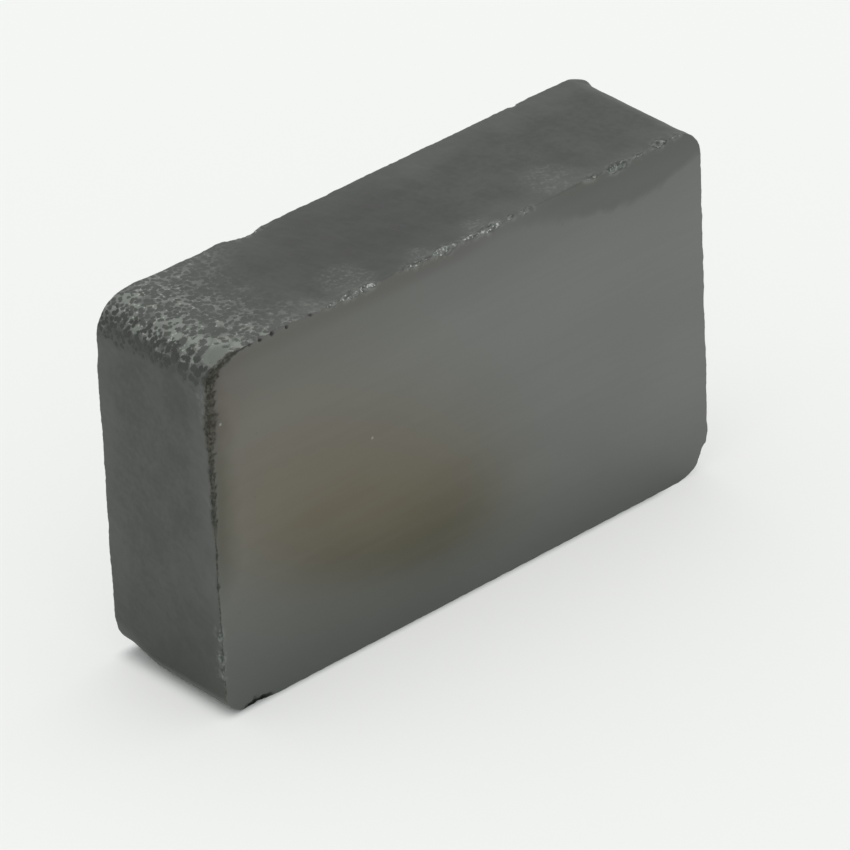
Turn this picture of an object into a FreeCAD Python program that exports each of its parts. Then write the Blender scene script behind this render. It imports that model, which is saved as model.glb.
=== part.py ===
import FreeCAD, Part
import math
import os

from FreeCAD import Vector

# Block magnet: one bar of hard ferrite, pressed in a die, fired, and ground on its two pole faces.
# Millimetres. X runs along the length, Y through the thickness, Z up the height.
# The block stands on a long narrow wall: the origin is at the middle of that wall, on the ground.

# The block as pressed and ground
length = 40.0
height = 24.5
thickness = 10.1

# Corner radii of the pressed outline, seen from the front pole face
top_left_radius = 2.3
top_right_radius = 1.9
bottom_left_radius = 2.7
bottom_right_radius = 2.8

# Sharp edge that grinding leaves round each pole face, dulled by handling
edge_break = 0.12

# Scars where flakes have sprung off the top front edge. Each has its distance from the block's end,
# its length along the edge, its depth, and its lean: 0 opens up out of the wall, 90 out of the pole face.
top_front_scars_from_left = [
    (9.9, 1.3, 0.12, 30),
    (11.4, 1.9, 0.22, 25),
    (12.8, 1.5, 0.26, 25),
    (16.6, 2.3, 0.15, 40),
    (18.9, 2.2, 0.24, 50),
    (21.2, 1.9, 0.16, 35),
    (22.7, 2.0, 0.28, 45),
    (24.3, 0.6, 0.10, 40),
    (25.6, 1.1, 0.14, 60),
]
top_front_scars_from_right = [
    (9.1, 1.1, 0.18, 35),
    (6.9, 2.1, 0.30, 55),
    (5.2, 1.1, 0.14, 35),
    (3.4, 1.4, 0.26, 20),
    (2.1, 0.8, 0.10, 35),
]

# Small dark pits in the same edge, between the top left corner and the first scar
top_front_pits_from_left = [
    (3.2, 0.5, 0.18, 45),
    (4.3, 0.4, 0.16, 45),
    (5.5, 0.6, 0.20, 50),
    (6.55, 0.5, 0.18, 40),
    (8.5, 0.5, 0.18, 45),
]

# Long shallow flake out of the top back edge, near the left end
top_back_scar_from_left = 11.9
top_back_scar_length = 2.8
top_back_scar_depth = 0.22
top_back_scar_lean = 30

# Nick in the top back edge, near the right end
top_back_nick_from_right = 6.4
top_back_nick_length = 0.8
top_back_nick_depth = 0.14
top_back_nick_lean = 45

# Chip under the bottom front edge, beside the bottom left corner
bottom_front_chip_from_left = 3.2
bottom_front_chip_length = 2.6
bottom_front_chip_depth = 0.20
bottom_front_chip_lean = 70

# Chip that flattens the bottom right corner: its angle round the corner from straight down
corner_chip_angle = 50
corner_chip_length = 2.2
corner_chip_depth = 0.22
corner_chip_lean = 40

# Crumbled edge: a run of small pits down the front left edge and round the top left corner
crumble_pitch = 0.62
crumble_lowest = 13.4
crumble_pit_length = 0.9
crumble_pit_depth = 0.15
crumble_unevenness = 0.35
crumble_lean = 45
# A turn by the golden angle from pit to pit keeps the run from looking regular
golden_angle = 137.5

# Lone pits in the same edge, the largest where the crumbling is widest and the rest below it: height
# above the ground, length, depth and lean
left_front_pits = [
    (20.7, 1.7, 0.30, 60),
    (11.5, 0.7, 0.10, 40),
    (9.4, 0.6, 0.08, 55),
    (6.3, 1.3, 0.10, 35),
    (4.6, 1.0, 0.13, 30),
]

front = -thickness / 2
back = thickness / 2
left = -length / 2
right = length / 2

UP = Vector(0, 0, 1)
DOWN = Vector(0, 0, -1)
TOWARDS_FRONT = Vector(0, -1, 0)
TOWARDS_BACK = Vector(0, 1, 0)
TOWARDS_LEFT = Vector(-1, 0, 0)


def on_circle(centre, radius, angle):
    """A point of an upright circle: angle 0 is towards +X and 90 is up."""
    turn = math.radians(angle)
    return centre + Vector(radius * math.cos(turn), 0, radius * math.sin(turn))


def corner_arc(centre, radius, start_angle):
    """A quarter turn of the outline, anticlockwise seen from the front."""
    return Part.Arc(
        on_circle(centre, radius, start_angle),
        on_circle(centre, radius, start_angle + 45),
        on_circle(centre, radius, start_angle + 90),
    ).toShape()


def pressed_outline(y):
    """The die's outline: four straight walls joined by tangent corner arcs."""
    corners = [
        (right, height, top_right_radius, 0),
        (left, height, top_left_radius, 90),
        (left, 0, bottom_left_radius, 180),
        (right, 0, bottom_right_radius, 270),
    ]
    arcs = []
    for x, z, radius, start_angle in corners:
        centre = Vector(x - math.copysign(radius, x), y, z - radius if z else radius)
        arcs.append(corner_arc(centre, radius, start_angle))
    edges = []
    for arc, following in zip(arcs, arcs[1:] + arcs[:1]):
        wall = Part.makeLine(arc.valueAt(arc.LastParameter), following.valueAt(following.FirstParameter))
        edges += [arc, wall]
    return Part.Wire(edges)


def pole_face_edges(block):
    """The edges that lie flat in the two ground faces; the others run through the thickness."""
    return [edge for edge in block.Edges if edge.BoundBox.YLength < thickness / 2]


def scoop(edge_point, wall_outward, face_outward, length_along, depth, lean):
    """The ball that leaves one scar: it bites the edge for length_along and goes depth into it."""
    turn = math.radians(lean)
    outward = wall_outward * math.cos(turn) + face_outward * math.sin(turn)
    radius = ((length_along / 2) ** 2 + depth ** 2) / (2 * depth)
    centre = edge_point + outward * (radius - depth)
    # The ball's poles lie along the edge and its seam looks away from the block
    facing = FreeCAD.Rotation(outward, face_outward.cross(wall_outward), Vector(), "XZY")
    ball = Part.makeSphere(radius)
    ball.Placement = FreeCAD.Placement(centre, facing)
    return ball


def edge_scars():
    """Flakes lost from the long edges, and the chip off the bottom right corner."""
    scars = []
    for from_end, along, depth, lean in top_front_scars_from_left + top_front_pits_from_left:
        place = Vector(left + from_end, front, height)
        scars.append(scoop(place, UP, TOWARDS_FRONT, along, depth, lean))
    for from_end, along, depth, lean in top_front_scars_from_right:
        place = Vector(right - from_end, front, height)
        scars.append(scoop(place, UP, TOWARDS_FRONT, along, depth, lean))
    scars.append(scoop(
        Vector(left + top_back_scar_from_left, back, height), UP, TOWARDS_BACK,
        top_back_scar_length, top_back_scar_depth, top_back_scar_lean,
    ))
    scars.append(scoop(
        Vector(right - top_back_nick_from_right, back, height), UP, TOWARDS_BACK,
        top_back_nick_length, top_back_nick_depth, top_back_nick_lean,
    ))
    scars.append(scoop(
        Vector(left + bottom_front_chip_from_left, front, 0), DOWN, TOWARDS_FRONT,
        bottom_front_chip_length, bottom_front_chip_depth, bottom_front_chip_lean,
    ))
    corner_centre = Vector(right - bottom_right_radius, front, bottom_right_radius)
    corner_point = on_circle(corner_centre, bottom_right_radius, 270 + corner_chip_angle)
    corner_outward = (corner_point - corner_centre).normalize()
    scars.append(scoop(
        corner_point, corner_outward, TOWARDS_FRONT,
        corner_chip_length, corner_chip_depth, corner_chip_lean,
    ))
    return scars


def crumbled_edge():
    """Pits down the front left edge, one after another along the wall and then the corner arc."""
    wall_run = height - top_left_radius - crumble_lowest
    whole_run = wall_run + top_left_radius * math.pi / 2
    corner_centre = Vector(left + top_left_radius, front, height - top_left_radius)
    pits = []
    count = int(whole_run / crumble_pitch)
    for number in range(count):
        run = (number + 0.5) * crumble_pitch
        swing = crumble_unevenness * math.sin(math.radians(number * golden_angle))
        if run < wall_run:
            place = Vector(left, front, crumble_lowest + run)
            outward = TOWARDS_LEFT
        else:
            round_corner = math.degrees((run - wall_run) / top_left_radius)
            place = on_circle(corner_centre, top_left_radius, 180 - round_corner)
            outward = (place - corner_centre).normalize()
        pits.append(scoop(
            place, outward, TOWARDS_FRONT,
            crumble_pit_length * (1 + swing), crumble_pit_depth * (1 + swing), crumble_lean * (1 - swing),
        ))
    for up, along, depth, lean in left_front_pits:
        pits.append(scoop(Vector(left, front, up), TOWARDS_LEFT, TOWARDS_FRONT, along, depth, lean))
    return pits


def magnet_block():
    """The whole magnet: the pressed block between its ground faces, less what has chipped away."""
    outline = Part.Face(pressed_outline(front))
    block = outline.extrude(TOWARDS_BACK * thickness)
    block = block.makeChamfer(edge_break, pole_face_edges(block))
    block = block.cut(edge_scars() + crumbled_edge())
    return block.Solids[0]


os.makedirs("parts", exist_ok=True)
magnet = magnet_block()
magnet.exportStep("parts/magnet_block.step")
print("magnet_block", len(magnet.Faces), "faces,", round(magnet.Volume, 2), "mm3, valid", magnet.isValid())
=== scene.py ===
import math

import bmesh
import bpy
from mathutils import Matrix, Vector, noise


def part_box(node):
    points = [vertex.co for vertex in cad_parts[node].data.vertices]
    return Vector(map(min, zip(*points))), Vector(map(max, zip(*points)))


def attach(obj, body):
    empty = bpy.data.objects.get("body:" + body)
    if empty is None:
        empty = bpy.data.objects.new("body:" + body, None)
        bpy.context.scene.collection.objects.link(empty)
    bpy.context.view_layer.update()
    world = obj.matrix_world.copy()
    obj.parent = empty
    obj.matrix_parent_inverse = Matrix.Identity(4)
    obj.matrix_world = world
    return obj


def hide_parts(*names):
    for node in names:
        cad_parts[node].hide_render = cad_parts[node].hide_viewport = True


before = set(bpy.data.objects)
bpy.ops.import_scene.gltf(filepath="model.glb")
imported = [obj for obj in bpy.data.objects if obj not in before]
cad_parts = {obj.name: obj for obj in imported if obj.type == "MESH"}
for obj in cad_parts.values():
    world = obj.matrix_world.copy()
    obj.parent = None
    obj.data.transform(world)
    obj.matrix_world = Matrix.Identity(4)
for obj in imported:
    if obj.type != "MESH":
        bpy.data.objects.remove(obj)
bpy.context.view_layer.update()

# Ferrite block: the whole magnet is one bar of black ferrite powder, pressed in a die and fired like a
# pot. Its four narrow walls keep the dull skin that the die gave them, and its two large pole faces are
# ground flat, which leaves them satin, with brittle edges that flake and crumble.

MM = 0.001  # the mesh is made in millimetres, and brought to metres at the end
low, high = (Vector(corner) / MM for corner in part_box("magnet_block"))
thickness = high.y - low.y

# Corners of the pressed outline: side, end, radius, the angle where the arc starts, and how far apart the
# mesh lines lie on the arc and on the wall after it, which is less where the edges are worn
CORNERS = [
    (1, 1, 1.9, 0, 0.10),
    (-1, 1, 2.3, 90, 0.10),
    (-1, -1, 1.8, 180, 0.16),
    (1, -1, 2.8, 270, 0.16),
]
MOTTLED_CORNER, CHIPPED_CORNER = 1, 3

# Mesh lines across the block crowd towards each rim: distances from it, on the wall and on the pole face
RIM_STEPS = (0.03, 0.07, 0.12, 0.18, 0.25, 0.33, 0.43, 0.55, 0.70, 0.88)
FACE_STEPS = RIM_STEPS + (1.1, 1.4)
THROUGH_PITCH = 0.24

FRONT, BACK = Vector((0, -1, 0)), Vector((0, 1, 0))
LEFT, RIGHT = Vector((-1, 0, 0)), Vector((1, 0, 0))
DOWN, UP = Vector((0, 0, -1)), Vector((0, 0, 1))


def corner_centre(number):
    """The centre of a corner's arc, on the front pole face."""
    side, end, radius = CORNERS[number][:3]
    x = high.x - radius if side > 0 else low.x + radius
    z = high.z - radius if end > 0 else low.z + radius
    return Vector((x, low.y, z))


def corner_place(number, degrees):
    """The point of a corner's arc at an angle from +X, on the front pole face, and the way out there."""
    outward = Vector((math.cos(math.radians(degrees)), 0, math.sin(math.radians(degrees))))
    return corner_centre(number) + outward * CORNERS[number][2], outward


def stations():
    """Places round the outline, anticlockwise from the right wall's top, each with the way out there."""
    places = []
    for number, (_, _, radius, start, pitch) in enumerate(CORNERS):
        turns = math.ceil(radius * math.pi / 2 / pitch)
        places += [corner_place(number, start + 90 * turn / turns) for turn in range(turns)]
        last, outward = corner_place(number, start + 90)
        following = corner_place((number + 1) % len(CORNERS), start + 90)[0]
        steps = math.ceil((following - last).length / pitch)
        places += [(last.lerp(following, step / steps), outward) for step in range(steps)]
    return places


def crossings():
    """One trip across the block: how far inside the wall, and how far behind the front pole face."""
    rim = RIM_STEPS[-1]
    count = round((thickness - 2 * rim) / THROUGH_PITCH)
    through = [rim + (thickness - 2 * rim) * number / count for number in range(1, count)]
    front = [(inside, 0) for inside in reversed(FACE_STEPS)] + [(0, 0)] + [(0, depth) for depth in RIM_STEPS]
    back = [(inside, thickness - depth) for inside, depth in reversed(front)]
    return front + [(0, depth) for depth in through] + back


# Flakes lost from the long edges: distance from the block's end, length along the edge, depth, and
# lean, where 0 opens out of the wall and 90 out of the pole face
TOP_FRONT_FROM_LEFT = [
    (9.9, 1.3, 0.12, 30), (11.4, 1.9, 0.22, 25), (12.8, 1.5, 0.26, 25), (16.6, 2.3, 0.15, 40),
    (18.9, 2.2, 0.24, 50), (21.2, 1.9, 0.16, 35), (22.7, 2.0, 0.28, 45), (24.3, 0.6, 0.10, 40),
    (25.6, 1.1, 0.14, 60),
]
TOP_FRONT_FROM_RIGHT = [
    (9.1, 1.1, 0.18, 35), (6.9, 2.1, 0.30, 55), (5.2, 1.1, 0.14, 35), (3.4, 1.4, 0.26, 20),
    (2.1, 0.8, 0.10, 35),
]
TOP_BACK_FROM_LEFT = [(11.9, 2.8, 0.22, 30)]
TOP_BACK_FROM_RIGHT = [(6.4, 0.8, 0.14, 45)]

# Small dark pits in the top front edge, the chip under the bottom edge, and the chip off the bottom right
# corner, with its angle round the corner
TOP_FRONT_PITS = [
    (3.45, 0.26, 0.13, 45), (4.3, 0.22, 0.11, 45), (5.2, 0.26, 0.12, 50), (6.35, 0.24, 0.11, 40),
    (8.25, 0.26, 0.12, 45),
]
BOTTOM_FRONT_FROM_LEFT = [(2.4, 3.0, 0.20, 70)]
CORNER_CHIP = (2.2, 0.22, 40)
CORNER_CHIP_ANGLE = 329

# The crumbled left edge: pits one after another, up the wall and round the corner, and lone pits and flakes
# that start with their height above the ground
CRUMBLE_PITCH = 0.62
CRUMBLE_LOWEST = 13.4
CRUMBLE_PIT = (0.9, 0.15, 45)
CRUMBLE_UNEVENNESS = 0.35
GOLDEN_ANGLE = math.radians(137.5)
LONE_PITS = [(20.7, 1.7, 0.30, 60), (11.5, 0.7, 0.10, 40), (9.4, 0.6, 0.08, 55)]
LONE_FLAKES = [(5.9, 1.0, 0.13, 12), (4.2, 1.1, 0.15, 12), (3.1, 1.1, 0.16, 10)]


def scoop(place, wall_out, face_out, along, depth, lean):
    """The ball that leaves one scar in an edge: its centre, radius and the way it opens."""
    opens = wall_out * math.cos(math.radians(lean)) + face_out * math.sin(math.radians(lean))
    radius = ((along / 2) ** 2 + depth ** 2) / (2 * depth)
    return place + opens * (radius - depth), radius, opens


def scars_along(start, way, wall_out, face_out, table):
    """The scars of one edge, each at its own distance along the edge."""
    return [scoop(start + way * distance, wall_out, face_out, *size) for distance, *size in table]


top_left, top_right = Vector((low.x, low.y, high.z)), Vector((high.x, low.y, high.z))
back_top_left = Vector((low.x, high.y, high.z))
flakes = scars_along(top_left, RIGHT, UP, FRONT, TOP_FRONT_FROM_LEFT)
flakes += scars_along(top_right, LEFT, UP, FRONT, TOP_FRONT_FROM_RIGHT)
flakes += scars_along(back_top_left, RIGHT, UP, BACK, TOP_BACK_FROM_LEFT)
flakes += scars_along(high, LEFT, UP, BACK, TOP_BACK_FROM_RIGHT)
flakes += scars_along(low, UP, LEFT, FRONT, LONE_FLAKES)
pits = scars_along(top_left, RIGHT, UP, FRONT, TOP_FRONT_PITS)
pits += scars_along(low, RIGHT, DOWN, FRONT, BOTTOM_FRONT_FROM_LEFT)
chip_place, chip_out = corner_place(CHIPPED_CORNER, CORNER_CHIP_ANGLE)
pits.append(scoop(chip_place, chip_out, FRONT, *CORNER_CHIP))
mottled_radius = CORNERS[MOTTLED_CORNER][2]
wall_run = high.z - mottled_radius - CRUMBLE_LOWEST
for number in range(int((wall_run + mottled_radius * math.pi / 2) / CRUMBLE_PITCH)):
    run = (number + 0.5) * CRUMBLE_PITCH
    swing = CRUMBLE_UNEVENNESS * math.sin(number * GOLDEN_ANGLE)
    place, wall_out = Vector((low.x, low.y, low.z + CRUMBLE_LOWEST + run)), LEFT
    if run > wall_run:
        place, wall_out = corner_place(MOTTLED_CORNER, 180 - math.degrees((run - wall_run) / mottled_radius))
    along, depth, lean = CRUMBLE_PIT
    pits.append(scoop(place, wall_out, FRONT, along * (1 + swing), depth * (1 + swing), lean * (1 - swing)))
pits += scars_along(low, UP, LEFT, FRONT, LONE_PITS)

# Warps that firing left in the walls: where, how far they reach round the outline and through the
# thickness, and how high. The last two lie at the back: wear on the bottom left corner, and a burr on the
# top right one.
WARPS = [
    ((-14.6, 0, 24.5), (4.6, 15), 0.13),
    ((-17.0, 7, 24.5), (3.0, 10), 0.24),
    ((-10.3, 7, 24.5), (3.3, 11), 0.24),
    ((-20.0, 0, 21.8), (2.2, 30), -0.10),
    ((-20.0, 0, 8.0), (6.0, 30), 0.05),
    ((-13.7, 7, 24.5), (2.2, 9), 0.11),
    ((19.5, -1, 24.1), (2.0, 12), -0.09),
    ((-19.3, 5, 0.6), (2.4, 3.8), -0.50),
    ((19.45, 4.6, 23.95), (0.9, 0.6), 0.17),
]
WARP_INWARD = 1.5                       # how far into the pole faces the walls' unevenness runs out
FLAT_BASE = (0.3, 0.9)                  # how squarely a wall looks down where the waves fade out

# Unevenness as waves, each with its wavelength and its height: of the walls, of the edges that handling has
# rounded, of the crumbled rim's border and its grains, and of the broken faces
WALL_WAVES = [(2.6, 0.045), (0.9, 0.025), (0.35, 0.015)]
RIM_BREAK, RIM_WAVES = 0.09, [(0.7, 0.08), (0.25, 0.048)]
CRUMBLE_BORDER = [(0.45, 0.55), (0.15, 0.35)]
CRUMBLE_GRAINS = [(0.22, 0.8), (0.1, 0.5)]
BITE_WAVES = [(0.5, 0.09), (0.17, 0.054)]

# How wide the front rim has crumbled, by millimetres round the outline from the mottled corner's foot
CRUMBLE_WIDTHS = [
    (-22, 0.06), (-9.5, 0.08), (-8.5, 0.24), (-4, 0.30), (-2, 0.58), (0, 0.52), (2, 0.40), (3.4, 0.24),
    (4.4, 0.1), (5.0, 0),
]
FACE_SHARE, WALL_SHARE = 1.2, 0.8       # how that splits between the pole face and the wall
CRUMBLE_DEPTH, CRUMBLE_GRAIN = 0.10, 0.55    # how deep it is eaten, and the share of that between its grains
CRUMBLE_FADE = 0.45                     # the share of its width over which the crumbled rim fades out
CRUMBLE_REACH, FULL_WIDTH = 1, 0.3      # its furthest reach, and the width from which it has its whole depth
BITE_REACH = 1.5                        # how far in from the rim a scar can go
BRUISE = 0.30                           # how far past a flake's ball the wall is scuffed
FRESH_DEPTH = 0.09                      # how deep a break goes before it is wholly fresh stone


def smooth(start, end, value):
    """0 before start, 1 after end, and an even S-curve between."""
    t = min(1, max(0, (value - start) / (end - start)))
    return t * t * (3 - 2 * t)


def between(table, value):
    """Reads a table of (place, amount) at any place, in straight lines between its rows."""
    for (start, first), (end, last) in zip(table, table[1:]):
        if start <= value <= end:
            return first + (last - first) * (value - start) / (end - start)
    return 0


def uneven(place, waves):
    """Noise at a place, summed over its waves."""
    return sum(height * noise.noise(place / wavelength) for wavelength, height in waves)


def run_from_corner(place, out):
    """Millimetres round the outline from the foot of the mottled corner: down is less, rightwards is more."""
    centre = corner_centre(MOTTLED_CORNER)
    if out.x < 0 and out.z >= 0:
        return mottled_radius * math.atan2(out.z, -out.x) + min(0, place.z - centre.z)
    return mottled_radius * math.pi / 2 + place.x - centre.x if out.z > 0 else math.inf


def swell_at(place, out, inside):
    """How far the wall lies out at a place. It fades into the pole faces, and the waves spare the base."""
    swell = uneven(place, WALL_WAVES) * (1 - smooth(*FLAT_BASE, -out.z))
    for (x, y, z), (round_reach, through_reach), rise in WARPS:
        away = math.hypot(place.x - x, place.z - z, (place.y - y) * round_reach / through_reach) / round_reach
        swell += rise * (1 - away * away) ** 2 if away < 1 else 0
    return swell * (1 - inside / WARP_INWARD)


outline = stations()
section = crossings()
bm = bmesh.new()
bmesh.ops.create_grid(bm, x_segments=len(outline), y_segments=len(section) - 1, size=0.5)
flake_layer = bm.verts.layers.float.new("flake")
pit_layer = bm.verts.layers.float.new("pit")
crumble_layer = bm.verts.layers.float.new("crumble")
bruise_layer = bm.verts.layers.float.new("bruise")
for v in bm.verts:
    place, wall_out = outline[round((v.co.x + 0.5) * len(outline)) % len(outline)]
    inside, behind = section[round((v.co.y + 0.5) * (len(section) - 1))]
    is_front = behind < thickness / 2
    below = behind if is_front else thickness - behind
    face_out = FRONT if is_front else BACK
    co = place - wall_out * inside + BACK * behind
    co += wall_out * swell_at(co, wall_out, inside)

    # The ground edges, rounded and ragged from handling
    dulled = RIM_BREAK + uneven(co, RIM_WAVES)
    in_wall, in_face = dulled - inside, dulled - below
    if in_wall > 0 and in_face > 0:
        ease = max(in_wall, in_face) / math.hypot(in_wall, in_face)
        co -= (wall_out * in_wall + face_out * in_face) * (1 - ease)

    # Crumbled stretches, eaten unevenly
    from_rim = max(inside, below)
    width = between(CRUMBLE_WIDTHS, run_from_corner(place, wall_out)) if is_front else 0
    width *= FACE_SHARE if inside > 0 else WALL_SHARE
    if width > 0 and from_rim < CRUMBLE_REACH:
        ragged = 1 + uneven(co, CRUMBLE_BORDER)
        crumbled = smooth(0, CRUMBLE_FADE, ragged - from_rim / width)
        v[crumble_layer] = crumbled
        eaten = CRUMBLE_DEPTH * crumbled * (CRUMBLE_GRAIN + uneven(co, CRUMBLE_GRAINS))
        co -= (wall_out + face_out) * eaten * min(1, width / FULL_WIDTH)

    # What has chipped away
    if from_rim < BITE_REACH:
        rough = uneven(co, BITE_WAVES)
        for scars, layer in ((flakes, flake_layer), (pits, pit_layer)):
            for centre, radius, opens in scars:
                away = co - centre
                reach = radius + rough
                if scars is flakes:
                    scuffed = 1 - smooth(0, BRUISE, away.length - reach)
                    v[bruise_layer] = max(v[bruise_layer], scuffed)
                if away.length_squared < reach * reach:
                    forward = away.dot(opens)
                    sink = forward + math.sqrt(forward * forward - away.length_squared + reach * reach)
                    co -= opens * sink
                    v[layer] = max(v[layer], min(1, sink / FRESH_DEPTH))
    v.co = co

# The grid's two ends meet in a seam, and one flat polygon closes each pole face
bmesh.ops.remove_doubles(bm, verts=bm.verts, dist=1e-5)
open_edges = [e for e in bm.edges if e.is_boundary]
for is_front in (True, False):
    rim = [e for e in open_edges if (e.verts[0].co.y < 0) == is_front]
    bmesh.ops.contextual_create(bm, geom=rim)
bmesh.ops.recalc_face_normals(bm, faces=bm.faces)
bmesh.ops.scale(bm, vec=(MM, MM, MM), verts=bm.verts)


# Settings of two common nodes: a Map Range that runs as an even S-curve, and a Mix of colours, whose inputs
# are its factor, 0, and its two colours, 6 and 7. A Mix of numbers has them at 2 and 3.
SMOOTHLY = {"interpolation_type": "SMOOTHSTEP"}
IN_COLOUR = {"data_type": "RGBA"}


def linear(code):
    """The linear colour of an sRGB hex value."""
    parts = [int(code[i:i + 2], 16) / 255 for i in (1, 3, 5)]
    return (*(p / 12.92 if p <= 0.04045 else ((p + 0.055) / 1.055) ** 2.4 for p in parts), 1)


def add(tree, kind, inputs=(), **settings):
    """Adds one node with its settings. Its inputs, in order or by name, each take a value, a hex colour, an
    output, or another node for that node's first live output."""
    made = tree.nodes.new("ShaderNode" + kind)
    for name, value in settings.items():
        setattr(made, name, value)
    for name, value in inputs.items() if isinstance(inputs, dict) else enumerate(inputs):
        if isinstance(value, bpy.types.Node):
            value = next(output for output in value.outputs if output.enabled)
        if isinstance(value, bpy.types.NodeSocket):
            tree.links.new(value, made.inputs[name])
        else:
            made.inputs[name].default_value = linear(value) if isinstance(value, str) else value
    return made


def cloud(tree, place, size, detail=3, stretch=(1, 1, 1)):
    """Noise whose features are about a size in millimetres, longer where stretch is under 1."""
    laid = add(tree, "VectorMath", [place, stretch], operation="MULTIPLY")
    return add(tree, "TexNoise", {"Vector": laid, "Scale": 1 / size, "Detail": detail})


def near(tree, place, spot, reach, core=0.35):
    """1 round a spot, out to a share of its reach, and falling to 0 at its reach."""
    gap = add(tree, "VectorMath", [place, spot], operation="DISTANCE")
    return add(tree, "MapRange", [gap, reach * core, reach, 1, 0], **SMOOTHLY)


def most(tree, values):
    """The largest of several outputs."""
    best = values[0]
    for value in values[1:]:
        best = add(tree, "Math", [best, value], operation="MAXIMUM")
    return best


def product(tree, values):
    """Several outputs and numbers, multiplied."""
    result = values[0]
    for value in values[1:]:
        result = add(tree, "Math", [result, value], operation="MULTIPLY")
    return result


def run_in_nodes(tree, place):
    """Millimetres round the outline from the foot of the mottled corner, worked out for the shader."""
    centre = corner_centre(MOTTLED_CORNER)
    x, _, z = add(tree, "SeparateXYZ", [place]).outputs
    up = add(tree, "Math", [z, centre.z], operation="SUBTRACT")
    along = add(tree, "Math", [x, centre.x], operation="SUBTRACT")
    leftwards = most(tree, [product(tree, [along, -1]), 0])
    turn = add(tree, "Math", [most(tree, [up, 0]), leftwards], operation="ARCTAN2")
    down = add(tree, "Math", [up, 0], operation="MINIMUM")
    straight = add(tree, "Math", [down, most(tree, [along, 0])], operation="ADD")
    return add(tree, "Math", [turn, mottled_radius, straight], operation="MULTIPLY_ADD")


# Broken ferrite: fresh flakes are pale, with painted glitter highlights, old crumbled edges brown with dirt,
# and the hollows of pits nearly black with painted shade. The wall round a flake is scuffed, with a dark
# crack and painted shadow under the ledge along the flake's rim. Each pair of colours is the darker and the
# paler lumps.
FRESH, GLITTER_HIGHLIGHT = ("#464945", "#6C706C"), "#BDBEB9"
CRUMBLED = ("#282822", "#545247")
PIT_SHADE = ("#0D0D0A", "#302E27")
BRUISED, CRACK_AND_SHADOW = "#60625C", "#171814"
LUMP, GRIT, SPOT, GRAVEL, SCUFF = 0.28, 0.22, 0.18, 0.13, 0.35    # sizes of their grains
GRAVEL_RELIEF = 0.06
BROKEN_ROUGHNESS = 0.8
SHINE = 0.5                                          # the specular level of unbroken stone
DIRT_THINS, DIRT_DEPTHS = (0.8, 2.4), (0.9, 0.55)    # round the outline: where the dirt thins, and its depth
PITS_LIGHTEN, PIT_DEPTHS = (3, 15), (0.9, 0.45)      # Z where the pits' painted shade gets lighter, and how dark it is
GLITTER_HEIGHTS, GLITTER_STRETCH = (6, 14), (4, 9)   # Z where the glitter grows, and X where it fades


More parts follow.
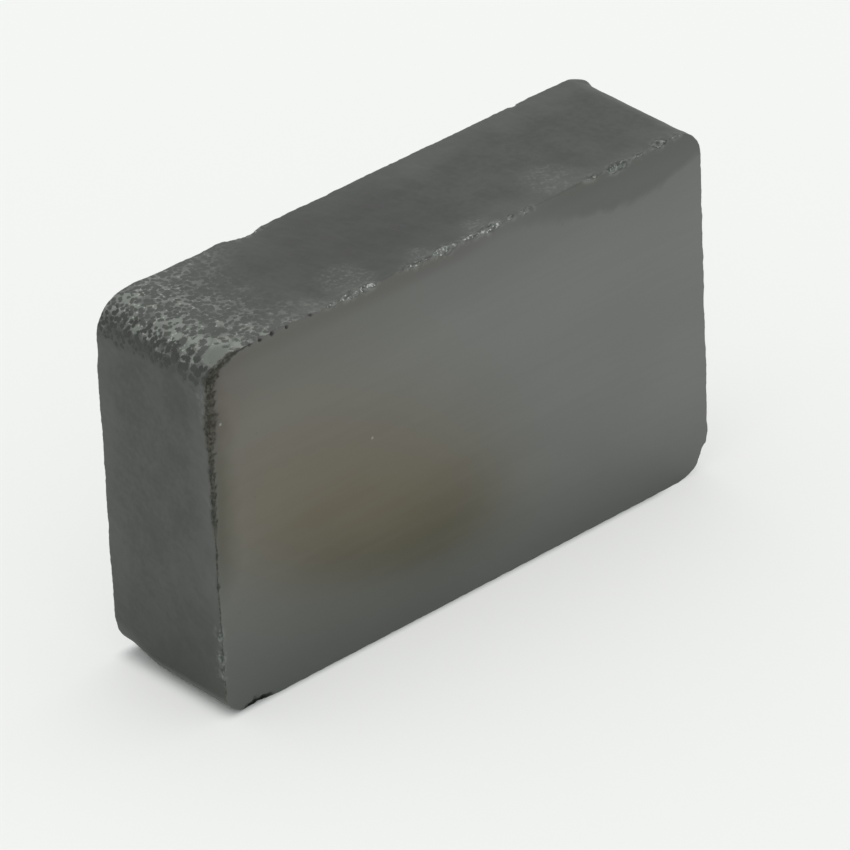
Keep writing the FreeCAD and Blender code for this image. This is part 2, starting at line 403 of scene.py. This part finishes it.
def broken(tree, place, plain):
    """Lays the broken edges over a plain colour: the colour, how broken it is there, and how much duller."""
    flake, pit, crumble, bruise = (
        add(tree, "Attribute", attribute_name=name).outputs["Fac"]
        for name in ("flake", "pit", "crumble", "bruise")
    )
    x, _, z = add(tree, "SeparateXYZ", [place]).outputs
    lumps = cloud(tree, place, LUMP, detail=2, stretch=(0.5, 1, 1))

    # Scuffs round the flakes
    scuffs = add(tree, "MapRange", [cloud(tree, place, SCUFF, detail=4), 0.42, 0.64, 0, 0.7], **SMOOTHLY)
    colour = add(tree, "Mix", {0: product(tree, [bruise, scuffs]), 6: plain, 7: BRUISED}, **IN_COLOUR)

    # The crumbled edge, fainter along the top than down the wall
    grit = add(tree, "MapRange", [cloud(tree, place, GRIT), 0.36, 0.64], **SMOOTHLY)
    old = add(tree, "Mix", {0: grit, 6: CRUMBLED[0], 7: CRUMBLED[1]}, **IN_COLOUR)
    run = run_in_nodes(tree, place)
    past_corner = add(tree, "MapRange", [run, *DIRT_THINS, *DIRT_DEPTHS], **SMOOTHLY)
    patchy = add(tree, "MapRange", [cloud(tree, place, 1.0, detail=1), 0.40, 0.60, 0.7, 1], **SMOOTHLY)
    crumbling = product(tree, [crumble, product(tree, [past_corner, patchy])])
    colour = add(tree, "Mix", {0: crumbling, 6: colour, 7: old}, **IN_COLOUR)

    # Pits, with painted shade in their hollows, blackest near the ground
    lit_lumps = add(tree, "MapRange", [lumps, 0.38, 0.64], **SMOOTHLY)
    pit_shade_colour = add(tree, "Mix", {0: lit_lumps, 6: PIT_SHADE[0], 7: PIT_SHADE[1]}, **IN_COLOUR)
    pitted = product(tree, [pit, add(tree, "MapRange", [z, *PITS_LIGHTEN, *PIT_DEPTHS], **SMOOTHLY)])
    colour = add(tree, "Mix", {0: pitted, 6: colour, 7: pit_shade_colour}, **IN_COLOUR)

    # Fresh flakes, with painted glitter highlights that are strongest high up and on the left
    pale_lumps = add(tree, "MapRange", [lumps, 0.38, 0.62], **SMOOTHLY)
    fresh = add(tree, "Mix", {0: pale_lumps, 6: FRESH[0], 7: FRESH[1]}, **IN_COLOUR)
    high_up = add(tree, "MapRange", [z, *GLITTER_HEIGHTS, 0.1, 1], **SMOOTHLY)
    lively = product(tree, [high_up, add(tree, "MapRange", [x, *GLITTER_STRETCH, 1, 0.45], **SMOOTHLY)])
    spots = add(tree, "MapRange", [cloud(tree, place, SPOT, detail=1), 0.54, 0.72], **SMOOTHLY)
    fresh = add(tree, "Mix", {0: product(tree, [spots, lively]), 6: fresh, 7: GLITTER_HIGHLIGHT}, **IN_COLOUR)
    ragged = add(tree, "Math", [lumps, 0.8, flake], operation="MULTIPLY_ADD")
    ragged = add(tree, "MapRange", [ragged, 0.5, 0.9], **SMOOTHLY)
    flaked = product(tree, [ragged, add(tree, "MapRange", [flake, 0.02, 0.2], **SMOOTHLY)])
    colour = add(tree, "Mix", {0: flaked, 6: colour, 7: fresh}, **IN_COLOUR)

    # Dark cracks with painted shadow under the ledge along the flakes' rims, in stretches
    close = add(tree, "MapRange", [bruise, 0.75, 0.95], **SMOOTHLY)
    rim = product(tree, [close, add(tree, "MapRange", [flake, 0.1, 0.8, 1, 0], **SMOOTHLY)])
    cracks_and_shadow = add(tree, "MapRange", [cloud(tree, place, 0.8, detail=1), 0.54, 0.62, 0, 0.4], **SMOOTHLY)
    rim = product(tree, [rim, product(tree, [cracks_and_shadow, lively])])
    colour = add(tree, "Mix", {0: rim, 6: colour, 7: CRACK_AND_SHADOW}, **IN_COLOUR)

    dulled = most(tree, [product(tree, [most(tree, [flake, crumble]), 0.5]), pitted])
    return colour, most(tree, [flake, pit, crumble]), dulled


def finished(tree, place, colour, breaks, dulled, roughness, shine, height, relief, ior):
    """Closes a material with its shine, and with the relief of its grain and of its breaks."""
    rough = add(tree, "Mix", {0: breaks, 2: roughness, 3: BROKEN_ROUGHNESS})
    shine = product(tree, [shine, add(tree, "Math", [1, dulled], operation="SUBTRACT")])
    skin = add(tree, "Bump", {"Height": height, "Distance": relief * MM})
    gravel = cloud(tree, place, GRAVEL)
    relief_of_breaks = add(tree, "Bump", {
        "Strength": breaks, "Height": gravel, "Distance": GRAVEL_RELIEF * MM, "Normal": skin,
    })
    shader = add(tree, "BsdfPrincipled", {
        "Base Color": colour, "Roughness": rough, "IOR": ior, "Specular IOR Level": shine,
        "Normal": relief_of_breaks,
    })
    add(tree, "OutputMaterial", [shader])


def material(name):
    """A new material, its node tree, and places on the object in millimetres."""
    made = bpy.data.materials.new(name)
    made.use_nodes = True
    tree = made.node_tree
    tree.nodes.clear()
    metres = add(tree, "TexCoord").outputs["Object"]
    return made, tree, add(tree, "VectorMath", {0: metres, "Scale": 1 / MM}, operation="SCALE")


# Ground ferrite: a diamond wheel run along the length leaves it smooth and satin, with faint streaks. On the
# front face a darker strip along the top, a darker upper part and a darker foot are painted reflections: of
# the dark past the sheet's far edge, and of the floor's shadow near the block. The real streaks are finer,
# and are drawn this coarse so that they show.
GROUND, GROUND_LIGHT, PAINTED_REFLECTION_DARK, HAZE, UNDER_EDGE = "#2C3028", "#343830", "#262B1F", "#38332A", "#28241A"
GROUND_IOR = 2.35
SATIN = (0.365, 0.395)                               # roughness between the streaks and on them
STREAK, GROUND_TONE, STREAK_RELIEF = 0.45, 5.0, 0.0008
STRIP_LEFT, STRIP_RIGHT = (-5, 23.75), (14, 21.4)    # X and Z of the strip's lower edge, before it levels out
STRIP_LEVELS, STRIP_RISE = (15.5, 19.5), 0.9         # X where it levels out, and how far it rises there
STRIP_DEEPENS = (1, 11)                              # X where it comes to its full depth
STRIP_SHARPENS, STRIP_EDGE = (3, 13), (2.2, 1.1)     # X where that edge sharpens, and how wide its fade is
STRIP_WAVE, STRIP_WANDER = 1.6, 1.2                  # how long and high the waves of that edge are
SIDE_STRIP, SIDE_STRIP_ENDS = 2.4, (5, 12)           # its width down the left edge, and Z where it ends
FOOT_LOWERS, FOOT_HEIGHTS = (-14, -4), (14, 7)       # X where the dark foot gets lower, and its heights
FOOT_FADES, FOOT_DEPTHS = (-6, 4), (0.65, 0.45)      # X where the foot gets less dark, and how dark it is
BROW, BROW_DEPTH = (18.5, 23), 0.4                   # Z where the upper part gets darker, and how dark
UNDER_EDGE_HEIGHTS = (22.7, 24.0)                    # Z of the browner line under the top edge
UNDER_EDGE_GROWS, UNDER_EDGE_FADES = (-16, -5), (-1, 5)    # and X where it starts and where it fades
HAZE_SPOT, HAZE_REACH = (-20.5, -5.05, 22.0), 5.0    # browner haze beside the crumbled corner
DARK_SPECKS = [(-16.4, 18.4), (-16.8, 14.2), (-18.5, 6.9), (8.4, 22.3)]
PALE_SPECKS = [(-7.5, 14.2), (-19.1, 20.2)]
SPECK, DARK_SPECK, PALE_SPECK = 0.13, "#151613", "#8A8B83"


def dark_strip(tree, place):
    """Painted reflections that darken the front face: its strip along the top, a little its upper part, and
    its foot; it is also darker down the left edge.
    """
    x, y, z = add(tree, "SeparateXYZ", [place]).outputs
    wavy = cloud(tree, place, STRIP_WAVE)

    # The strip's lower edge slopes, levels out at the right and wanders
    edge = add(tree, "MapRange", [x, STRIP_LEFT[0], STRIP_RIGHT[0], STRIP_LEFT[1], STRIP_RIGHT[1]])
    level = add(tree, "MapRange", [x, *STRIP_LEVELS, 0, STRIP_RISE], **SMOOTHLY)
    edge = add(tree, "Math", [edge, level], operation="ADD")
    over = add(tree, "Math", [z, edge], operation="SUBTRACT")
    wander = add(tree, "Math", [wavy, STRIP_WANDER, over], operation="MULTIPLY_ADD")
    softness = add(tree, "MapRange", [x, *STRIP_SHARPENS, *STRIP_EDGE], **SMOOTHLY)
    above = add(tree, "MapRange", [wander, 0.1, softness], **SMOOTHLY)
    above = product(tree, [above, add(tree, "MapRange", [x, *STRIP_DEEPENS, 0.5, 1], **SMOOTHLY)])

    # Down the left edge
    inward = add(tree, "Math", [x, low.x], operation="SUBTRACT")
    inward = add(tree, "Math", [wavy, STRIP_WANDER, inward], operation="MULTIPLY_ADD")
    beside = add(tree, "MapRange", [inward, 0.8, SIDE_STRIP + 0.6, 1, 0], **SMOOTHLY)
    beside = product(tree, [beside, add(tree, "MapRange", [z, *SIDE_STRIP_ENDS], **SMOOTHLY)])

    # The foot, a painted reflection of the floor's shadow, higher and darker at the left, and the upper part,
    # the brow, darkened as painted reflection too
    foot_height = add(tree, "MapRange", [x, *FOOT_LOWERS, *FOOT_HEIGHTS], **SMOOTHLY)
    foot_depth = add(tree, "MapRange", [x, *FOOT_FADES, *FOOT_DEPTHS], **SMOOTHLY)
    foot = add(tree, "Math", [z, foot_height], operation="DIVIDE")
    foot = add(tree, "MapRange", [foot, 0.05, 1, foot_depth, 0], **SMOOTHLY)
    brow = add(tree, "MapRange", [z, *BROW, 0, BROW_DEPTH], **SMOOTHLY)

    on_front = add(tree, "MapRange", [y, -1, 1, 1, 0], **SMOOTHLY)
    return product(tree, [most(tree, [above, beside, foot, brow]), on_front])


def ground_ferrite():
    """The pole faces."""
    made, tree, place = material("ground_ferrite")
    streaks = cloud(tree, place, STREAK, detail=4, stretch=(0.05, 1, 1))
    tone = cloud(tree, place, GROUND_TONE, detail=2, stretch=(0.5, 1, 1))
    both = add(tree, "Math", [streaks, 0.5, product(tree, [tone, 0.5])], operation="MULTIPLY_ADD")
    light = add(tree, "MapRange", [both, 0.40, 0.60], **SMOOTHLY)
    colour = add(tree, "Mix", {0: light, 6: GROUND, 7: GROUND_LIGHT}, **IN_COLOUR)

    # The painted dark reflections, the brown haze, and a browner line under the top edge
    strip = dark_strip(tree, place)
    colour = add(tree, "Mix", {0: strip, 6: colour, 7: PAINTED_REFLECTION_DARK}, **IN_COLOUR)
    haze = near(tree, place, HAZE_SPOT, HAZE_REACH)
    colour = add(tree, "Mix", {0: haze, 6: colour, 7: HAZE}, **IN_COLOUR)
    x, _, z = add(tree, "SeparateXYZ", [place]).outputs
    from_left = add(tree, "MapRange", [x, *UNDER_EDGE_GROWS, 0.6, 1], **SMOOTHLY)
    to_right = add(tree, "MapRange", [x, *UNDER_EDGE_FADES, 1, 0.3], **SMOOTHLY)
    near_top = add(tree, "MapRange", [z, *UNDER_EDGE_HEIGHTS], **SMOOTHLY)
    under_edge = product(tree, [near_top, product(tree, [from_left, to_right])])
    colour = add(tree, "Mix", {0: under_edge, 6: colour, 7: UNDER_EDGE}, **IN_COLOUR)
    shine = SHINE
    for darkened, change in ((under_edge, -0.08), (strip, -0.16), (haze, -0.06)):
        shine = add(tree, "Math", [darkened, change, shine], operation="MULTIPLY_ADD")

    # Specks of dirt and of bare stone
    for specks, speck_colour, strength in ((DARK_SPECKS, DARK_SPECK, 0.7), (PALE_SPECKS, PALE_SPECK, 0.8)):
        speckled = most(tree, [near(tree, place, (x, low.y, z), SPECK) for x, z in specks])
        speckled = product(tree, [speckled, strength])
        colour = add(tree, "Mix", {0: speckled, 6: colour, 7: speck_colour}, **IN_COLOUR)

    colour, breaks, dulled = broken(tree, place, colour)
    satin = add(tree, "MapRange", [streaks, 0.3, 0.7, *SATIN], **SMOOTHLY)
    finished(
        tree, place, colour, breaks, dulled, roughness=satin, shine=shine, height=streaks,
        relief=STREAK_RELIEF, ior=GROUND_IOR,
    )
    return made


# Pressed and fired skin: dull, finely grained, darkest down the middle of each wall and rubbed paler along
# the edges. The powder's own grains are finer, and are drawn this coarse so that they show.
PRESSED, PRESSED_LIGHT, RUBBED, DARK = "#343633", "#3E403D", "#4A4C49", "#282A27"
LOW_WALL_SHADE, LOW_EDGE_REFLECTION = "#2A2C22", "#5E6059"                    # painted shade on the walls near the ground, and painted reflection of the floor on their rounded lower edge
LOW_WALL_SHADE_FADE, LOW_EDGE_REFLECTION_FADE = (1, 10), (0.8, 1.5)           # the heights where those fade out
PRESSED_IOR, PRESSED_ROUGHNESS = 1.6, 0.55
SKIN_GRAIN, SKIN_TONE, SKIN_RELIEF = 0.40, 2.4, 0.012
WORN = (3.2, 6.1)                                    # how far from the middle the walls are rubbed
SPARED_WALL, SPARED = (-19.6, -18.5), 0.5            # X of the left wall, and how much less it is rubbed
DARK_SPOT = ((-4.0, 0.0, 24.5), 9.5)
SCUFFED, SPECK_SIZE = "#6A6C65", 0.22
SCUFFS = [
    ((9.0, -3.4, 24.5), 2.6), ((-2.6, -4.4, 24.5), 1.3), ((2.2, -4.3, 24.5), 1.4), ((-11.0, -4.6, 24.5), 1.5),
    ((-20.0, -4.8, 22.1), 1.2), ((-20.0, -4.9, 20.9), 1.0), ((-7.6, -3.4, 24.5), 2.4),
]

# The mottled corner: how wide its grains are and how far they are shaken out of place, its colours, and
# where the paler ground between the grains shows most
GRAIN, FINE_GRAIN = 0.52, 0.34
SHAKE_SIZE, SHAKE = 0.30, (0.16, 0.16, 0)
GRAINS, BAND_GRAINS = ("#3A3C38", "#474945"), ("#20221E", "#2C2E2A")
PALE, GLINT_HIGHLIGHT, BARE = ("#5C605B", "#7F837C"), "#A9ACA5", "#646862"
GRAIN_RELIEF = 2.5                                   # how high grains stand, in heights of the skin's grain
FINER_ALONG, FINER_BACK = (4.0, 6.0), (-2.5, 0.5)    # where grains get finer: round the outline, and Y
MOTTLE_BEGINS, MOTTLE_REACH = (2.0, 3.2), (7.0, 9.5)    # round the outline: where it begins, and its reach
BAND_BEGINS, BAND_ENDS = (1.15, 1.55), (2.1, 2.7)       # round the outline: the band of darker grains
BARE_PATCH = ((-18.5, -4.4, 24.35), 1.2)
PALE_PATCHES = [
    ((-18.3, -2.6, 24.4), 1.1), ((-18.2, 0.1, 24.4), 0.9), ((-18.0, 4.3, 24.45), 0.9),
    ((-16.8, -4.6, 24.5), 1.0), ((-17.3, -3.6, 24.5), 0.9), ((-15.2, -4.9, 24.5), 0.6),
]


def mottled(tree, place, plain):
    """Round dark grains of fired skin in a paler ground, at the mottled corner: a colour and a height."""
    along = run_in_nodes(tree, place)
    across = add(tree, "SeparateXYZ", [place]).outputs[1]
    unrolled = add(tree, "CombineXYZ", [along, across])
    shake = add(tree, "TexNoise", {"Vector": place, "Scale": 1 / SHAKE_SIZE, "Detail": 2}).outputs["Color"]
    shake = add(tree, "VectorMath", [shake, (0.5, 0.5, 0.5)], operation="SUBTRACT")
    shaken = add(tree, "VectorMath", [shake, SHAKE, unrolled], operation="MULTIPLY_ADD")
    coarse, fine = (
        add(tree, "TexVoronoi", {"Vector": shaken, "Scale": 1 / size}, voronoi_dimensions="2D").outputs
        for size in (GRAIN, FINE_GRAIN)
    )
    run = add(tree, "SeparateXYZ", [coarse["Position"]]).outputs[0]
    tint, girth, _ = add(tree, "SeparateColor", [coarse["Color"]]).outputs
    patchy = cloud(tree, place, 1.0, detail=2)
    patches = most(tree, [near(tree, place, spot, reach) for spot, reach in PALE_PATCHES])
    bare = near(tree, place, *BARE_PATCH)

    # Grains are finer further back and further along the top, and smaller where the ground shows
    further_along = add(tree, "MapRange", [along, *FINER_ALONG], **SMOOTHLY)
    further_back = add(tree, "MapRange", [across, *FINER_BACK], **SMOOTHLY)
    finer = most(tree, [further_along, further_back])
    from_middle = add(tree, "Mix", {0: finer, 2: coarse["Distance"], 3: fine["Distance"]})
    radius = add(tree, "MapRange", [patchy, 0.38, 0.62, 0.42, 0.28], **SMOOTHLY)
    for cause, change in ((girth, 0.18), (patches, -0.14), (bare, -0.60), (finer, -0.13)):
        radius = add(tree, "Math", [cause, change, radius], operation="MULTIPLY_ADD")
    patches = most(tree, [patches, bare])
    ragged = add(tree, "MapRange", [finer, 0, 1, 0.80, 0.6], **SMOOTHLY)
    past_rim = add(tree, "Math", [from_middle, radius], operation="SUBTRACT")
    past_rim = add(tree, "Math", [cloud(tree, place, 0.15), ragged, past_rim], operation="MULTIPLY_ADD")
    ground = add(tree, "MapRange", [past_rim, 0.34, 0.60], **SMOOTHLY)
    grains = add(tree, "Math", [1, ground], operation="SUBTRACT")

    # The mottle begins some way up the corner and thins out along the top, sooner in the middle of the wall
    from_centre = add(tree, "Math", [across], operation="ABSOLUTE")
    reach = add(tree, "MapRange", [from_centre, 1.5, 5.0, *MOTTLE_REACH], **SMOOTHLY)
    begins = add(tree, "Math", [patchy, 1.6, run], operation="MULTIPLY_ADD")
    begins = add(tree, "MapRange", [begins, *MOTTLE_BEGINS], **SMOOTHLY)
    share = add(tree, "Math", [patchy, -4.0, run], operation="MULTIPLY_ADD")
    share = add(tree, "Math", [share, reach], operation="DIVIDE")
    shown = product(tree, [begins, add(tree, "MapRange", [share, 0.0, 1.2, 1, 0], **SMOOTHLY)])

    # A band of darker grains lies under it
    band_begins = add(tree, "Math", [patchy, 1.4, run], operation="MULTIPLY_ADD")
    band_begins = add(tree, "MapRange", [band_begins, *BAND_BEGINS], **SMOOTHLY)
    band_ends = add(tree, "MapRange", [run, *BAND_ENDS, 1, 0], **SMOOTHLY)
    band = product(tree, [band_begins, band_ends, grains])

    # The ground: smooth and paler in patches, with painted glint highlights between them, and dull where it
    # lies bare
    smooth_pale = most(tree, [add(tree, "MapRange", [patchy, 0.40, 0.62], **SMOOTHLY), patches])
    smooth_pale = product(tree, [smooth_pale, add(tree, "MapRange", [finer, 0, 1, 1, 0.75], **SMOOTHLY)])
    pale = add(tree, "Mix", {0: smooth_pale, 6: PALE[0], 7: PALE[1]}, **IN_COLOUR)
    glint = add(tree, "MapRange", [cloud(tree, place, 0.20, detail=1), 0.58, 0.70, 0, 0.8], **SMOOTHLY)
    glint = product(tree, [glint, add(tree, "Math", [1, patches], operation="SUBTRACT")])
    pale = add(tree, "Mix", {0: glint, 6: pale, 7: GLINT_HIGHLIGHT}, **IN_COLOUR)
    pale = add(tree, "Mix", {0: bare, 6: pale, 7: BARE}, **IN_COLOUR)

    grain = add(tree, "Mix", {0: tint, 6: GRAINS[0], 7: GRAINS[1]}, **IN_COLOUR)
    skin = add(tree, "Mix", {0: product(tree, [shown, 0.75]), 6: plain, 7: grain}, **IN_COLOUR)
    band_grain = add(tree, "Mix", {0: tint, 6: BAND_GRAINS[0], 7: BAND_GRAINS[1]}, **IN_COLOUR)
    skin = add(tree, "Mix", {0: band, 6: skin, 7: band_grain}, **IN_COLOUR)
    strength = product(tree, [ground, most(tree, [shown, patches])])
    colour = add(tree, "Mix", {0: strength, 6: skin, 7: pale}, **IN_COLOUR)
    return colour, product(tree, [grains, most(tree, [shown, band])])


def pressed_ferrite():
    """The walls."""
    made, tree, place = material("pressed_ferrite")
    x, y, z = add(tree, "SeparateXYZ", [place]).outputs
    grain = cloud(tree, place, SKIN_GRAIN, detail=5)
    tone = cloud(tree, place, SKIN_TONE)
    both = add(tree, "Math", [grain, 0.45, product(tree, [tone, 0.55])], operation="MULTIPLY_ADD")
    light = add(tree, "MapRange", [both, 0.38, 0.62], **SMOOTHLY)
    colour = add(tree, "Mix", {0: light, 6: PRESSED, 7: PRESSED_LIGHT}, **IN_COLOUR)

    # Rubbed towards the edges, less so on the left wall
    across = add(tree, "Math", [y], operation="ABSOLUTE")
    spared = add(tree, "MapRange", [x, *SPARED_WALL, SPARED, 0], **SMOOTHLY)
    across = add(tree, "Math", [across, spared], operation="SUBTRACT")
    worn = add(tree, "Math", [tone, 2.5, across], operation="MULTIPLY_ADD")
    worn = product(tree, [add(tree, "MapRange", [worn, *WORN], **SMOOTHLY), 0.7])
    colour = add(tree, "Mix", {0: worn, 6: colour, 7: RUBBED}, **IN_COLOUR)
    darkest = product(tree, [near(tree, place, *DARK_SPOT), 0.5])
    colour = add(tree, "Mix", {0: darkest, 6: colour, 7: DARK}, **IN_COLOUR)
    # Painted shade towards the ground, and a painted reflection of the bright floor low on the rounded edge
    wall_shade_low = add(tree, "MapRange", [z, *LOW_WALL_SHADE_FADE, 0.6, 0], **SMOOTHLY)
    colour = add(tree, "Mix", {0: wall_shade_low, 6: colour, 7: LOW_WALL_SHADE}, **IN_COLOUR)
    floor_reflection_low = add(tree, "MapRange", [z, *LOW_EDGE_REFLECTION_FADE, 0.85, 0], **SMOOTHLY)
    colour = add(tree, "Mix", {0: floor_reflection_low, 6: colour, 7: LOW_EDGE_REFLECTION}, **IN_COLOUR)

    colour, mottle_height = mottled(tree, place, colour)
    scuffed = most(tree, [near(tree, place, spot, reach) for spot, reach in SCUFFS])
    specks = cloud(tree, place, SPECK_SIZE, detail=4)
    specks = add(tree, "MapRange", [specks, 0.46, 0.72, 0.12, 0.65], **SMOOTHLY)
    colour = add(tree, "Mix", {0: product(tree, [scuffed, specks]), 6: colour, 7: SCUFFED}, **IN_COLOUR)
    colour, breaks, dulled = broken(tree, place, colour)
    height = add(tree, "Math", [mottle_height, GRAIN_RELIEF, grain], operation="MULTIPLY_ADD")
    finished(
        tree, place, colour, breaks, dulled, roughness=PRESSED_ROUGHNESS, shine=SHINE, height=height,
        relief=SKIN_RELIEF, ior=PRESSED_IOR,
    )
    return made


GROUND_TILT = 0.55          # how squarely a face looks along Y to belong to a pole face
mesh = bpy.data.meshes.new("ferrite_block")
for f in bm.faces:
    f.smooth = True
    f.material_index = 0 if abs(f.normal.y) > GROUND_TILT else 1
bm.to_mesh(mesh)
bm.free()
mesh.materials.append(ground_ferrite())
mesh.materials.append(pressed_ferrite())
block = bpy.data.objects.new("ferrite_block", mesh)
bpy.context.scene.collection.objects.link(block)
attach(block, "root")
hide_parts("magnet_block")

# Floor: a plain pale sheet that the block stands on. The camera sees a little over half of it as lit, with
# the block's shadow, and the rest as plain white paper. Under the block it is all lit, and so the gap along
# the block's lower edges stays dark.
FLOOR_SIZE = 3.0
PAPER, WHITE = "#F3F5F4", "#FFFFFD"
PAPER_SHARE = 0.45
GAP_LEFT, GAP_RIGHT, GAP_SIDE = (-20.6, -19.0), (15, 17), (5.0, 5.5)    # where that part ends
floor_mesh = bpy.data.meshes.new("floor")
bm = bmesh.new()
bmesh.ops.create_grid(bm, x_segments=1, y_segments=1, size=FLOOR_SIZE / 2)
bm.to_mesh(floor_mesh)
bm.free()
floor = bpy.data.objects.new("floor", floor_mesh)
bpy.context.scene.collection.objects.link(floor)
floor_look, floor_tree, floor_spot = material("pale_sheet")
lit = add(floor_tree, "BsdfDiffuse", {"Color": PAPER})
plain = add(floor_tree, "Emission", {"Color": WHITE, "Strength": 1.0})
eye = add(floor_tree, "LightPath").outputs["Is Camera Ray"]
floor_x, floor_y, _ = add(floor_tree, "SeparateXYZ", [floor_spot]).outputs
past_left = add(floor_tree, "MapRange", [floor_x, *GAP_LEFT], **SMOOTHLY)
short_of_right = add(floor_tree, "MapRange", [floor_x, *GAP_RIGHT, 1, 0], **SMOOTHLY)
from_centre = add(floor_tree, "Math", [floor_y], operation="ABSOLUTE")
beneath = add(floor_tree, "MapRange", [from_centre, *GAP_SIDE, 1, 0], **SMOOTHLY)
shaded = product(floor_tree, [product(floor_tree, [past_left, short_of_right]), beneath])
unshaded = add(floor_tree, "Math", [1, shaded], operation="SUBTRACT")
share = product(floor_tree, [eye, PAPER_SHARE, unshaded])
add(floor_tree, "OutputMaterial", [add(floor_tree, "MixShader", [share, lit, plain])])
floor_mesh.materials.append(floor_look)

# Warm card: a small round tan card lies in front of the block, out of the camera's sight. Only the satin
# pole face mirrors it, as a soft warm glow.
CARD_PLACE = (1.5, -19.5, 0.3)
CARD_RADIUS = 10.5
CARD_PALE, CARD_SHADED_TAN = "#F4DAB2", "#A69C73"
CARD_SHADE_SPAN = (-20, -9.5)   # Y between which painted shade deepens its tan, towards the block
card_mesh = bpy.data.meshes.new("warm_card")
bm = bmesh.new()
bmesh.ops.create_circle(bm, cap_ends=True, segments=64, radius=CARD_RADIUS * MM)
bmesh.ops.translate(bm, vec=Vector(CARD_PLACE) * MM, verts=bm.verts)
bm.to_mesh(card_mesh)
bm.free()
card = bpy.data.objects.new("warm_card", card_mesh)
bpy.context.scene.collection.objects.link(card)
card_look, card_tree, card_spot = material("tan_card")
towards = add(card_tree, "SeparateXYZ", [card_spot]).outputs[1]
card_shade = add(card_tree, "MapRange", [towards, *CARD_SHADE_SPAN], **SMOOTHLY)
tan = add(card_tree, "Mix", {0: card_shade, 6: CARD_PALE, 7: CARD_SHADED_TAN}, **IN_COLOUR)
add(card_tree, "OutputMaterial", [add(card_tree, "BsdfDiffuse", {"Color": tan})])
card_mesh.materials.append(card_look)
card.visible_camera = False
card.visible_diffuse = False
card.visible_shadow = False

# Light: an even pale room, and one large soft lamp high above the block, a little to the right and behind.
ROOM_LEVEL = 0.90
world = bpy.data.worlds.new("pale_room")
bpy.context.scene.world = world
world.use_nodes = True
world_tree = world.node_tree
world_tree.nodes.clear()
eye = add(world_tree, "LightPath").outputs["Is Camera Ray"]
level = add(world_tree, "MapRange", [eye, 0, 1, ROOM_LEVEL, 1.0], **SMOOTHLY)
room = add(world_tree, "Background", {"Color": PAPER, "Strength": level})
add(world_tree, "OutputWorld", [room])

LAMP_PLACE = Vector((0.15, 0.12, 0.90))
LAMP_AIM = Vector((0, 0, 0.012))
LAMP_SIZE, LAMP_POWER = 0.60, 1.2
lamp_data = bpy.data.lights.new("softbox", "AREA")
lamp_data.shape = "RECTANGLE"
lamp_data.size, lamp_data.size_y = LAMP_SIZE, LAMP_SIZE
lamp_data.energy = LAMP_POWER
lamp = bpy.data.objects.new("softbox", lamp_data)
bpy.context.scene.collection.objects.link(lamp)
lamp.location = LAMP_PLACE
lamp.rotation_euler = (LAMP_AIM - LAMP_PLACE).to_track_quat("-Z", "Y").to_euler()

# Camera: close to the block's left front corner and above it, with a long lens, tilted a little.
AZIMUTH = math.radians(-40.93)
ELEVATION = math.radians(31.16)
ROLL = math.radians(-2.655)
DISTANCE = 472.84 * MM
AIM = Vector((-0.866, -2.234, 11.015)) * MM
PICTURE = 850                # pixels each way
FOCAL_PIXELS = 7813.0
SENSOR = 36
camera_data = bpy.data.cameras.new("camera")
camera_data.sensor_width = SENSOR
camera_data.lens = FOCAL_PIXELS * SENSOR / PICTURE
camera = bpy.data.objects.new("camera", camera_data)
bpy.context.scene.collection.objects.link(camera)
turn = Matrix.Rotation(AZIMUTH, 4, "Z") @ Matrix.Rotation(math.pi / 2 - ELEVATION, 4, "X")
turn = turn @ Matrix.Rotation(ROLL, 4, "Z")
camera.matrix_world = Matrix.Translation(AIM) @ turn @ Matrix.Translation((0, 0, DISTANCE))
bpy.context.scene.camera = camera
bpy.context.scene.view_settings.view_transform = "Standard"
